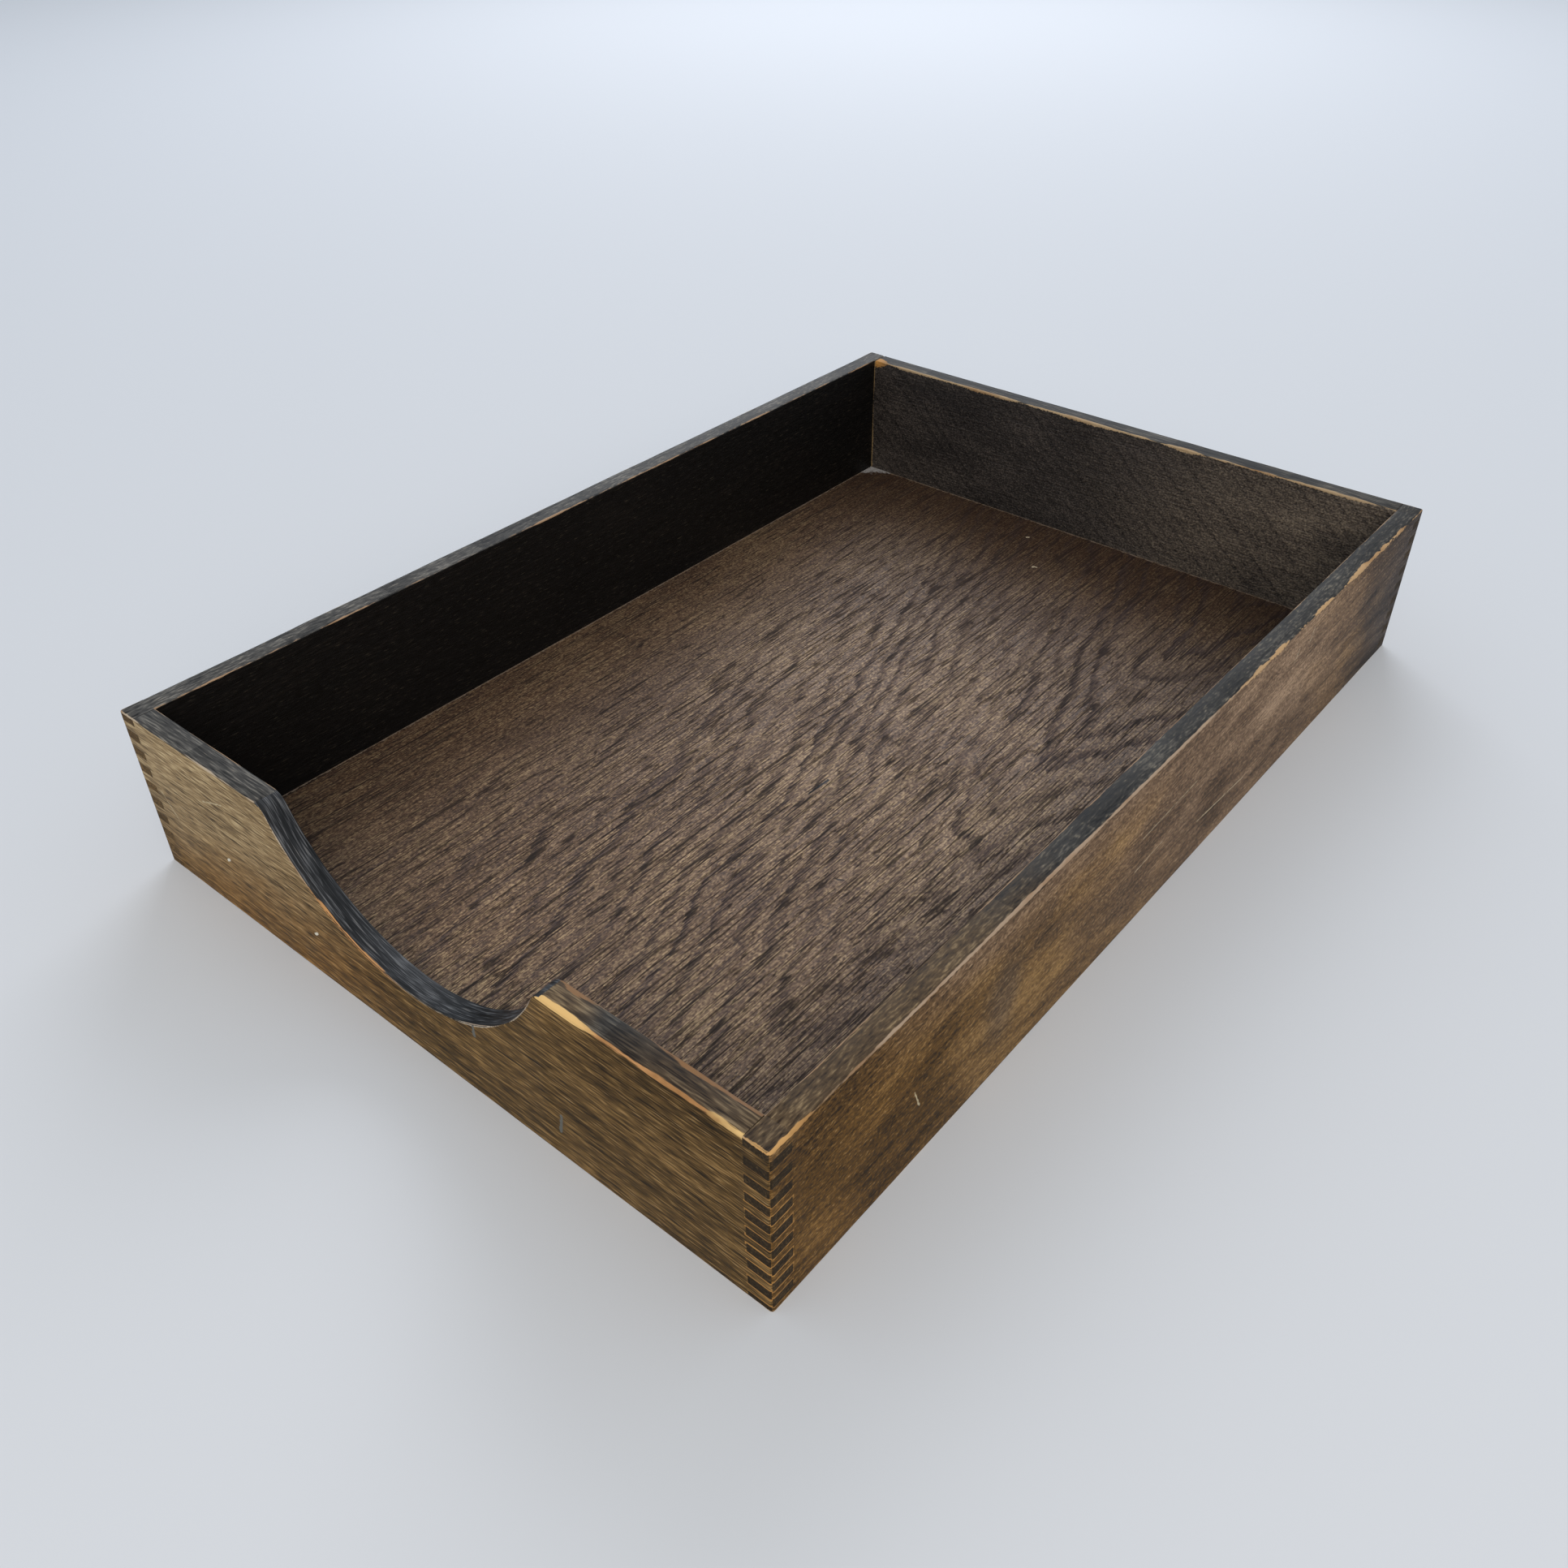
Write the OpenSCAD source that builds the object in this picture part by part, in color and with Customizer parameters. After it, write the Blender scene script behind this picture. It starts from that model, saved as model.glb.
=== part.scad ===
// Letter tray: four comb-jointed boards standing round a floor panel let into grooves.
// Frame: +Z up, origin on the table under the tray's middle, the scooped front board towards -Y.

/* [Paper well] */
// Clear width between the side boards
inner_w = 241; // [200:1:290]
// Clear length between the front and back boards
inner_l = 362; // [300:1:435]
// Height of the boards
height = 59; // [49:1:71]

/* [Boards] */
// Thickness of the four boards
board_t = 7.5; // [6:0.25:9]
// Radius of the four upright outer corners
corner_r = 1; // [0.5:0.1:2]

/* [Comb joints] */
// Height of one finger
finger_w = 3.175; // [2.6:0.025:3.85]
// Height of the part finger that the side boards keep at the top
top_finger = 2.9; // [1.5:0.1:3.1]
// Least wood the side boards keep below their lowest slot
least_rest = 1.5; // [1:0.1:2]
// Glue line on each cheek of a finger
glue_gap = 0.05; // [0.02:0.01:0.15]

/* [Floor panel] */
// Thickness of the panel
floor_t = 3.5; // [3:0.1:4.5]
// Height of the panel's underside above the table
floor_z = 3; // [2.5:0.1:5]
// Depth of the grooves that hold the panel
groove_d = 3.5; // [2.5:0.1:4.5]
// Gap between the panel's edge and the bottom of its groove
edge_gap = 0.5; // [0.2:0.1:1]
// Gap between the panel's top and its groove
top_gap = 0.1; // [0.05:0.05:0.3]

/* [Thumb scoop] */
// Radius of the scoop's curve
scoop_r = 60; // [50:1:80]
// Height of the scoop's lowest point above the table
scoop_low = 22; // [16:1:30]
// Radius of the rounding where the scoop meets the top edge
shoulder_r = 5.5; // [1:0.5:8]

/* [Hidden] */
$fn = 96;
overcut = 1; // how far each cutter runs past the wood
outer_w = inner_w + 2 * board_t;
outer_l = inner_l + 2 * board_t;
fingers = floor((height - top_finger - least_rest + finger_w) / (2 * finger_w));
front_y = -outer_l / 2; // outer face of the front board
back_y = inner_l / 2;   // inner face of the back board
left_x = -outer_w / 2;  // outer face of the left side board
right_x = inner_w / 2;  // inner face of the right side board

// Height of the underside of an end board's finger, counted from the top.
function finger_z(k) = height - top_finger - (2 * k + 1) * finger_w;

// The block the whole tray would be planed from, its four upright corners rounded.
module outer_block() {
    linear_extrude(height) {
        square([outer_w - 2 * corner_r, outer_l], center = true);
        square([outer_w, outer_l - 2 * corner_r], center = true);
        for (x = [-1, 1], y = [-1, 1])
            translate([x * (outer_w / 2 - corner_r), y * (outer_l / 2 - corner_r)])
                circle(corner_r);
    }
}

// The space ploughed out of all four boards for the floor panel.
module floor_groove() {
    translate([-inner_w / 2 - groove_d, -inner_l / 2 - groove_d, floor_z])
        cube([inner_w + 2 * groove_d, inner_l + 2 * groove_d, floor_t + top_gap]);
}

// An end board: plain between the side boards, then fingers that run through them.
module end_board(y) {
    difference() {
        intersection() {
            outer_block();
            union() {
                translate([-inner_w / 2, y, 0])
                    cube([inner_w, board_t, height]);
                for (k = [0 : fingers - 1])
                    translate([-outer_w / 2, y, finger_z(k)])
                        cube([outer_w, board_t, finger_w]);
            }
        }
        floor_groove();
    }
}

// The slots an end board's fingers fill in a side board.
module finger_slots(x, y) {
    for (k = [0 : fingers - 1])
        translate([x - overcut, y, finger_z(k) - glue_gap])
            cube([board_t + 2 * overcut, board_t + overcut, finger_w + 2 * glue_gap]);
}

module side_board(x) {
    difference() {
        intersection() {
            outer_block();
            translate([x, -outer_l / 2, 0])
                cube([board_t, outer_l, height]);
        }
        finger_slots(x, front_y - overcut);
        finger_slots(x, back_y);
        floor_groove();
    }
}

// Outline of the scoop: one arc, with a smaller arc turning over each shoulder.
module scoop_outline() {
    centre_z = scoop_low + scoop_r;
    shoulder_z = height - shoulder_r;
    shoulder_x = sqrt(pow(scoop_r + shoulder_r, 2) - pow(centre_z - shoulder_z, 2));
    translate([0, centre_z])
        circle(scoop_r, $fn = 180);
    for (side = [-1, 1])
        scale([side, 1])
            difference() {
                polygon([[0, centre_z], [shoulder_x, shoulder_z], [shoulder_x, centre_z]]);
                translate([shoulder_x, shoulder_z])
                    circle(shoulder_r);
            }
}

module front_board() {
    color("#6b5230")
        difference() {
            end_board(front_y);
            translate([0, front_y + board_t + overcut, 0])
                rotate([90, 0, 0])
                    linear_extrude(board_t + 2 * overcut)
                        scoop_outline();
        }
}

module back_board() {
    color("#54412b") end_board(back_y);
}

module left_side_board() {
    color("#5d4a30") side_board(left_x);
}

module right_side_board() {
    color("#5d4a30") side_board(right_x);
}

module floor_panel() {
    reach = groove_d - edge_gap;
    color("#4c3323")
        translate([-inner_w / 2 - reach, -inner_l / 2 - reach, floor_z])
            cube([inner_w + 2 * reach, inner_l + 2 * reach, floor_t]);
}

front_board();
back_board();
left_side_board();
right_side_board();
floor_panel();
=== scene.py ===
# %% [markdown]
# # A wooden letter tray
# The tray is five pieces of wood: four boards joined at the corners with a comb joint, and a thin
# floor panel let into grooves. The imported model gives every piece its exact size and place, so this
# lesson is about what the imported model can't hold: arrises worn round by years of handling, stained
# grain, and the pale wood that shows where the stain has rubbed away.

# %% Load the frame
import math

import bpy
from mathutils import Matrix, Vector, noise


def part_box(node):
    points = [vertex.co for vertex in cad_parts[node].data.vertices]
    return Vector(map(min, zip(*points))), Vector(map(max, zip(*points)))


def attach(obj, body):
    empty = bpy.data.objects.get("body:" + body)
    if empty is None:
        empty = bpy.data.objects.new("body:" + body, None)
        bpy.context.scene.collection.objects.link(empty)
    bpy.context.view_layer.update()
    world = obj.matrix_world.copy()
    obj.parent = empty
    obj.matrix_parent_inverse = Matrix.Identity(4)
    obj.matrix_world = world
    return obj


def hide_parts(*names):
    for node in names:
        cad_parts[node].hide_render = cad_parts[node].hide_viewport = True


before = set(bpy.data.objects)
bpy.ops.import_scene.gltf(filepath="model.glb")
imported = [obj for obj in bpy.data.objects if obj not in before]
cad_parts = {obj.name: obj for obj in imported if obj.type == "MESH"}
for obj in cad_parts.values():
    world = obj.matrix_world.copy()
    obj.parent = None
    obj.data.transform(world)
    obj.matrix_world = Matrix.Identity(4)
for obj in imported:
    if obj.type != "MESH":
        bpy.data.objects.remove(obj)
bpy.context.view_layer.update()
MM = 0.001
print("packed model:", sorted(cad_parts))

# %% [markdown]
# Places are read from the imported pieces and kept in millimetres, because a woodworker thinks in them
# and because the patterns of the wood are sized in them. The outer faces, the inner faces and the top
# of the boards say where the straight arrises run. Only the thumb scoop needs sizes of its own.

# %% Measure the tray
side_low, side_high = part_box("right_side_board")
OUT_X = side_high.x / MM  # outer face of a side board
IN_X = side_low.x / MM  # inner face of a side board
OUT_Y = side_high.y / MM  # outer face of an end board
IN_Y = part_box("back_board")[0].y / MM  # inner face of an end board
TOP = side_high.z / MM  # top edge of all four boards
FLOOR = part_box("floor_panel")[1].z / MM  # top face of the floor panel
SCOOP_R = 60  # radius of the thumb scoop
SCOOP_Z = 82  # height of the scoop's centre
SHOULDER = 57.5  # how far from the middle the scoop's rounded shoulders turn into the top edge
print(f"outside {2 * OUT_X:.1f} x {2 * OUT_Y:.1f} x {TOP:.1f} mm, floor at {FLOOR:.1f} mm")

# %% [markdown]
# ## Worn arrises
# An arris is the sharp line where two faces meet. On an old tray no arris is sharp: hands round the top
# ones, the table rubs the bottom ones, and the joint keeps only a hair line between two fingers. Each
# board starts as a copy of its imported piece. The copy's loose triangles are merged and its flat faces
# made whole, the arrises are divided into short lengths, and each length gets its own bevel weight, so
# that one Bevel modifier wears them all unevenly.

# %% Say how far each arris is worn
WIDEST = 1.6  # width in mm of a bevel whose weight is 1
STEP = 5.0  # length in mm that an arris is divided into
ROUND_CORNER = 1.05  # radius in mm of the upright corners, with a little slack
FAR = 99  # in mm, further off than any wear reaches

# widths in mm that the arrises are worn to
PLAIN = 0.4
TOP_ARRIS = 0.75
FRONT_RIGHT = 1.1  # the top right-hand end of the front board, which is rubbed most
KNOCKED = 1.2  # the left end of the back board
JOINT_LINE = 0.2
INNER_FOOT = 0.3


def near(value, place, slack=0.06):
    return abs(value - place) < slack


def ramp(value, start, end):
    """0 at the start, 1 at the end, and straight between."""
    return min(1, max(0, (value - start) / (end - start)))


def by_scoop(x, z):
    """True beside the curve of the thumb scoop or one of its shoulders."""
    return abs(x) < SCOOP_R and abs(math.hypot(x, z - SCOOP_Z) - SCOOP_R) < 5


def calm(point):
    """0 beside a small curve, where the wear has to stay even, and 1 well away from all curves."""
    x, y, _ = point
    corner = max(OUT_X - abs(x), OUT_Y - abs(y))
    shoulder = abs(abs(x) - SHOULDER) if y < -IN_Y + 0.1 else FAR
    return min(ramp(corner, 4, 12), ramp(shoulder, 6, 14))


def top_width(point, outside):
    """How wide an arris of the top edge is worn. The inner ones are worn half as much."""
    x, y, _ = point
    rubbed = FRONT_RIGHT if near(y, -OUT_Y, ROUND_CORNER) and x > 0 else TOP_ARRIS
    return PLAIN + (rubbed - PLAIN) * calm(point) * (1 if outside else 0.5)


def arris_width(point):
    """How wide, in mm, the arris through this point (in mm) is worn. None leaves the edge as it is."""
    x, y, z = point
    outside = near(abs(x), OUT_X, ROUND_CORNER) or near(abs(y), OUT_Y, ROUND_CORNER)
    inside = (near(abs(x), IN_X) and abs(y) <= IN_Y) or (near(abs(y), IN_Y) and abs(x) <= IN_X)
    if near(z, TOP):
        if outside or inside:
            return top_width(point, outside)
        return KNOCKED if near(x, -IN_X) and y > IN_Y else JOINT_LINE
    if near(z, 0):
        return PLAIN if outside else INNER_FOOT
    if by_scoop(x, z) and (near(y, -OUT_Y) or near(y, -IN_Y)):
        return PLAIN
    return None


def is_arris(a, b):
    """True for an edge that runs along an arris, not across a flat face."""
    m = (a + b) / 2
    along = b - a
    if near(m.z, TOP) or near(m.z, 0):
        by_x = near(abs(m.x), OUT_X, ROUND_CORNER)
        by_y = near(abs(m.y), OUT_Y, ROUND_CORNER)
        across_x = abs(along.x) < 0.02 and (by_x or near(abs(m.x), IN_X))
        across_y = abs(along.y) < 0.02 and (by_y or near(abs(m.y), IN_Y))
        round_corner = by_x and by_y and abs(along.z) < 0.02
        return across_x or across_y or round_corner
    return abs(along.y) < 0.02


# %% Copy a board and wear it
def edit(piece, mode):
    """Opens one piece in edit mode with nothing selected."""
    bpy.ops.object.select_all(action="DESELECT")
    bpy.context.view_layer.objects.active = piece
    piece.select_set(True)
    bpy.ops.object.mode_set(mode="EDIT")
    bpy.ops.mesh.select_mode(type=mode)
    bpy.ops.mesh.select_all(action="DESELECT")


def copy_board(node):
    """A copy of a packed board whose triangles are merged into whole flat faces."""
    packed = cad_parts[node]
    board = bpy.data.objects.new(f"worn_{node}", packed.data.copy())
    bpy.context.scene.collection.objects.link(board)
    edit(board, "VERT")
    bpy.ops.mesh.select_all(action="SELECT")
    bpy.ops.mesh.remove_doubles(threshold=0.01 * MM)
    bpy.ops.mesh.dissolve_limited(angle_limit=math.radians(0.5))
    bpy.ops.object.mode_set(mode="OBJECT")
    return board


def slice_places(board, axis, half_length):
    """Where to cut: every few millimetres, moved on the scoop to the nearest corner of its curve."""
    joint = IN_X if axis == 0 else IN_Y
    places = [i * STEP for i in range(-int(half_length / STEP), int(half_length / STEP) + 1)]
    places = [p for p in places if abs(abs(p) - joint) > STEP / 2 and half_length - abs(p) > STEP / 2]
    if axis == 1:
        return places + [-IN_Y, IN_Y]
    points = [v.co / MM for v in board.data.vertices]
    curve = sorted({round(p.x, 4) for p in points if p.z > FLOOR + 1 and abs(p.x) < SCOOP_R + 1})
    if not curve:
        return places
    return sorted({min(curve, key=lambda x: abs(x - p)) if abs(p) <= SCOOP_R else p for p in places})


def slice_board(board, axis, half_length):
    """Cuts a board across its length, so that each arris is made of short lengths."""
    places = slice_places(board, axis, half_length)
    edit(board, "EDGE")
    normal = [0, 0, 0]
    normal[axis] = 1
    for place in places:
        bpy.ops.mesh.select_all(action="SELECT")
        cut = [place * MM * n for n in normal]
        bpy.ops.mesh.bisect(plane_co=cut, plane_no=normal, threshold=0.02 * MM)
    bpy.ops.object.mode_set(mode="OBJECT")


def wear_arrises(board):
    """Weighs every short length of arris and bevels them all with one modifier."""
    mesh = board.data
    weights = mesh.attributes.new("bevel_weight_edge", "FLOAT", "EDGE")
    for edge in mesh.edges:
        a, b = (mesh.vertices[i].co / MM for i in edge.vertices)
        middle = (a + b) / 2
        width = arris_width(middle) if is_arris(a, b) else None
        if width is not None:
            uneven = 1 + 0.5 * calm(middle) * noise.noise(middle / 9)  # dips and swells about 9 mm long
            weights.data[edge.index].value = min(1, width * uneven / WIDEST)
    bevel = board.modifiers.new("worn arrises", "BEVEL")
    bevel.limit_method = "WEIGHT"
    bevel.width = WIDEST * MM
    bevel.segments = 3
    bevel.use_clamp_overlap = False
    bevel.loop_slide = False
    bpy.context.view_layer.objects.active = board
    bpy.ops.object.modifier_apply(modifier=bevel.name)
    bpy.ops.object.shade_smooth_by_angle(angle=math.radians(20))


# %% Wear the four boards
GRAIN = {"front_board": "x", "back_board": "x", "left_side_board": "y", "right_side_board": "y"}
boards = {}
for node, grain in GRAIN.items():
    board = copy_board(node)
    slice_board(board, "xy".index(grain), OUT_X if grain == "x" else OUT_Y)
    wear_arrises(board)
    boards[node] = board
    print(node, len(board.data.polygons), "faces")

# %% [markdown]
# ## A helper for materials
# A material is a small graph of nodes. One helper adds a node, sets its settings and joins its sockets,
# so that the graphs below read from top to bottom. Colours are written as the hex values a designer
# picks on a screen, and one function turns them into the linear values that light works with.

# %% Helpers for nodes and colours
def linear(hex_colour):
    """A screen colour such as '#6b5230' as linear red, green, blue and alpha."""
    parts = [int(hex_colour[i : i + 2], 16) / 255 for i in (1, 3, 5)]
    return [c / 12.92 if c <= 0.04045 else ((c + 0.055) / 1.055) ** 2.4 for c in parts] + [1]


def socket_of(sockets, key):
    """A socket by number, or the first one in use that has the name."""
    if isinstance(key, int):
        return sockets[key]
    return next(s for s in sockets if s.enabled and s.name == key)


def add(tree, kind, joined=None, **settings):
    """Adds a node. Each joined socket gets a value, another node's first output, or one of its outputs."""
    made = tree.nodes.new(kind)
    for name, value in settings.items():
        setattr(made, name, value)
    for key, value in (joined or {}).items():
        socket = socket_of(made.inputs, key)
        if isinstance(value, bpy.types.Node):
            value = next(s for s in value.outputs if s.enabled)
        if isinstance(value, bpy.types.NodeSocket):
            tree.links.new(value, socket)
        else:
            socket.default_value = value
    return made


def group(name, vectors, numbers, outputs):
    """An empty node group, the sockets it is given and the ends it has to join."""
    tree = bpy.data.node_groups.new(name, "ShaderNodeTree")
    for title in vectors:
        tree.interface.new_socket(title, in_out="INPUT", socket_type="NodeSocketVector")
    for title in numbers:
        tree.interface.new_socket(title, in_out="INPUT", socket_type="NodeSocketFloat")
    for title in outputs:
        tree.interface.new_socket(title, in_out="OUTPUT", socket_type="NodeSocketFloat")
    return tree, add(tree, "NodeGroupInput").outputs, add(tree, "NodeGroupOutput").inputs


def empty_material(name):
    """A new material and its node tree, with no nodes in it."""
    material = bpy.data.materials.new(name)
    material.use_nodes = True
    material.node_tree.nodes.clear()
    return material, material.node_tree


def place_in_mm(tree):
    """The point that is being coloured, in mm from the tray's origin."""
    place = add(tree, "ShaderNodeTexCoord").outputs["Object"]
    return add(tree, "ShaderNodeVectorMath", {0: place, "Scale": 1 / MM}, operation="SCALE")


# %% [markdown]
# ## Where the arrises are
# Wear follows the arrises, so every finish has to know how far a point is from each of them. All four
# boards share one outline, so a few distances measured from the middle of the tray serve them all: from
# the outer faces, from the inner faces, from the top and the foot, from the curve of the scoop, and from
# the lines where the fingers of the comb joint meet. The nook is the upright line inside a corner.

# %% Distances to the arrises, as a node group
TOP_FINGER = 2.9  # height in mm of the topmost finger
FINGER = 3.175  # height in mm of all the others
BOARD = OUT_X - IN_X  # thickness in mm of a board


def finger_line(tree, px, py, drop):
    """How far a point is from the joint's lines: the upright one and those between two fingers."""
    below = add(tree, "ShaderNodeMath", {0: drop, 1: TOP_FINGER}, operation="SUBTRACT")
    to_line = add(tree, "ShaderNodeMath", {0: below, 1: FINGER / 2}, operation="PINGPONG")
    deeper = add(tree, "ShaderNodeMath", {0: px, 1: py}, operation="MAXIMUM")
    beyond = add(tree, "ShaderNodeMath", {0: deeper, 1: BOARD}, operation="SUBTRACT")
    return add(tree, "ShaderNodeMath", {0: to_line, 1: beyond}, operation="MAXIMUM")


def arris_distances():
    """Each arris is where two faces meet, so its distance is the length of the two faces' distances."""
    titles = ["Outer", "Inner", "Foot", "Scoop", "Nook", "Finger"]
    tree, _, ends = group("distances to the arrises", [], [], titles)
    x, y, z = add(tree, "ShaderNodeSeparateXYZ", {0: place_in_mm(tree)}).outputs
    ax = add(tree, "ShaderNodeMath", {0: x}, operation="ABSOLUTE")
    ay = add(tree, "ShaderNodeMath", {0: y}, operation="ABSOLUTE")
    px = add(tree, "ShaderNodeMath", {0: OUT_X, 1: ax}, operation="SUBTRACT")
    py = add(tree, "ShaderNodeMath", {0: OUT_Y, 1: ay}, operation="SUBTRACT")
    skin = add(tree, "ShaderNodeMath", {0: px, 1: py}, operation="MINIMUM")
    qx = add(tree, "ShaderNodeMath", {0: ax, 1: IN_X}, operation="SUBTRACT")
    qy = add(tree, "ShaderNodeMath", {0: ay, 1: IN_Y}, operation="SUBTRACT")
    lining = add(tree, "ShaderNodeMath", {0: qx, 1: qy}, operation="MAXIMUM")
    drop = add(tree, "ShaderNodeMath", {0: TOP, 1: z}, operation="SUBTRACT")
    up = add(tree, "ShaderNodeMath", {0: z, 1: SCOOP_Z}, operation="SUBTRACT")
    spoke = add(tree, "ShaderNodeCombineXYZ", {0: x, 1: up})
    reach = add(tree, "ShaderNodeVectorMath", {0: spoke}, operation="LENGTH")
    curve = add(tree, "ShaderNodeMath", {0: reach.outputs["Value"], 1: SCOOP_R}, operation="SUBTRACT")
    front = add(tree, "ShaderNodeMath", {0: y, 1: OUT_Y}, operation="ADD")
    meeting = [(skin, drop), (lining, drop), (skin, z), (curve, front), (qx, qy)]
    for title, (one, other) in zip(titles, meeting):
        pair = add(tree, "ShaderNodeCombineXYZ", {0: one, 1: other})
        length = add(tree, "ShaderNodeVectorMath", {0: pair}, operation="LENGTH")
        tree.links.new(length.outputs["Value"], ends[title])
    tree.links.new(finger_line(tree, px, py, drop).outputs[0], ends["Finger"])
    return tree


ARRISES = arris_distances()
print("distances to:", [socket.name for socket in ARRISES.interface.items_tree])

# %% [markdown]
# ## Rubbed wood, soft patches and scratches
# Stain rubs off in a strip along an arris. A slow noise, as long as a fingertip, makes the strip wider and
# narrower, and the flecks of the wood make its edge ragged, because it wears away fibre by fibre. A soft
# patch is where a face has faded or gathered grime, and a scratch is a thin broken line from one point to
# another. All three are only arithmetic on noises that the finish makes once and shares.

# %% Node groups for wear
def patch_group():
    """1 inside an ellipsoid and 0 outside it. The clouds, which average 0.5, make its soft edge ragged."""
    tree, given, ends = group("soft patch", ["Place", "Centre", "Reach"], ["Cloud"], ["Amount"])
    apart = add(tree, "ShaderNodeVectorMath", {0: given["Place"], 1: given["Centre"]}, operation="SUBTRACT")
    scaled = add(tree, "ShaderNodeVectorMath", {0: apart, 1: given["Reach"]}, operation="DIVIDE")
    far = add(tree, "ShaderNodeVectorMath", {0: scaled}, operation="LENGTH").outputs["Value"]
    ragged = add(tree, "ShaderNodeMath", {0: given["Cloud"], 1: 1.6, 2: far}, operation="MULTIPLY_ADD")
    edge = {"Value": ragged, "From Min": 2.3, "From Max": 1.2}
    amount = add(tree, "ShaderNodeMapRange", edge, interpolation_type="SMOOTHSTEP")
    tree.links.new(amount.outputs[0], ends["Amount"])
    return tree


def strip_group():
    """1 within a strip beside an arris. Ragged runs from 0, an even strip, to 2, a strip in pieces."""
    tree, given, ends = group("rubbed strip", [], ["Distance", "Width", "Ragged", "Slow", "Flecks"], ["Bare"])
    slow = add(tree, "ShaderNodeMath", {0: given["Slow"], 1: 4, 2: -2}, operation="MULTIPLY_ADD")
    flecks = add(tree, "ShaderNodeMath", {0: given["Flecks"], 1: 2, 2: -1}, operation="MULTIPLY_ADD")
    both = add(tree, "ShaderNodeMath", {0: flecks, 1: slow}, operation="ADD")
    share = add(tree, "ShaderNodeMath", {0: both, 1: given["Ragged"], 2: 1}, operation="MULTIPLY_ADD")
    width = add(tree, "ShaderNodeMath", {0: share, 1: given["Width"]}, operation="MULTIPLY")
    inside = add(tree, "ShaderNodeMath", {0: width, 1: given["Distance"]}, operation="SUBTRACT")
    edge = {"Value": inside, "From Min": -0.05, "From Max": 0.15}
    bare = add(tree, "ShaderNodeMapRange", edge, interpolation_type="SMOOTHSTEP")
    tree.links.new(bare.outputs[0], ends["Bare"])
    return tree


def scratch_group():
    """1 on a thin line between two points, broken where the quick noise is low."""
    tree, given, ends = group("scratch", ["Place", "Shake", "Start", "End"], ["Width", "Quick"], ["Amount"])
    place = add(tree, "ShaderNodeVectorMath", {0: given["Place"], 1: given["Shake"]}, operation="ADD")
    run = add(tree, "ShaderNodeVectorMath", {0: given["End"], 1: given["Start"]}, operation="SUBTRACT")
    rel = add(tree, "ShaderNodeVectorMath", {0: place, 1: given["Start"]}, operation="SUBTRACT")
    dot = add(tree, "ShaderNodeVectorMath", {0: rel, 1: run}, operation="DOT_PRODUCT").outputs["Value"]
    size = add(tree, "ShaderNodeVectorMath", {0: run, 1: run}, operation="DOT_PRODUCT").outputs["Value"]
    part = add(tree, "ShaderNodeMath", {0: dot, 1: size}, operation="DIVIDE", use_clamp=True)
    foot = add(tree, "ShaderNodeVectorMath", {0: run, "Scale": part}, operation="SCALE")
    off = add(tree, "ShaderNodeVectorMath", {0: rel, 1: foot}, operation="SUBTRACT")
    far = add(tree, "ShaderNodeVectorMath", {0: off}, operation="LENGTH").outputs["Value"]
    width = add(tree, "ShaderNodeMath", {0: given["Quick"], 1: given["Width"]}, operation="MULTIPLY")
    inside = add(tree, "ShaderNodeMath", {0: width, 1: far}, operation="SUBTRACT")
    amount = add(tree, "ShaderNodeMapRange", {"Value": inside, "From Min": -0.1, "From Max": 0.15})
    tree.links.new(amount.outputs[0], ends["Amount"])
    return tree


PATCH = patch_group()
STRIP = strip_group()
SCRATCH = scratch_group()
EVERYWHERE = (999, 999, 999)  # a reach in mm that takes in the whole tray
print("wear:", PATCH.name, STRIP.name, SCRATCH.name, sep=" | ")

# %% [markdown]
# ## The figure of the wood
# A flat-sawn face cuts the rings of the trunk at a slant, so they show as nested arches, or flames. Each
# ring ends in a line of dense dark late wood, sharp on one side and soft on the other. The line isn't
# smooth: it steps from fibre to fibre, because each fibre was cut at its own depth.

# %% Flames, as a node group
BEND = (75, 32)  # length and width in mm of the slow bends in the flames
THREAD = (14, 0.8)  # length and width in mm of the steps along their edges


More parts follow.
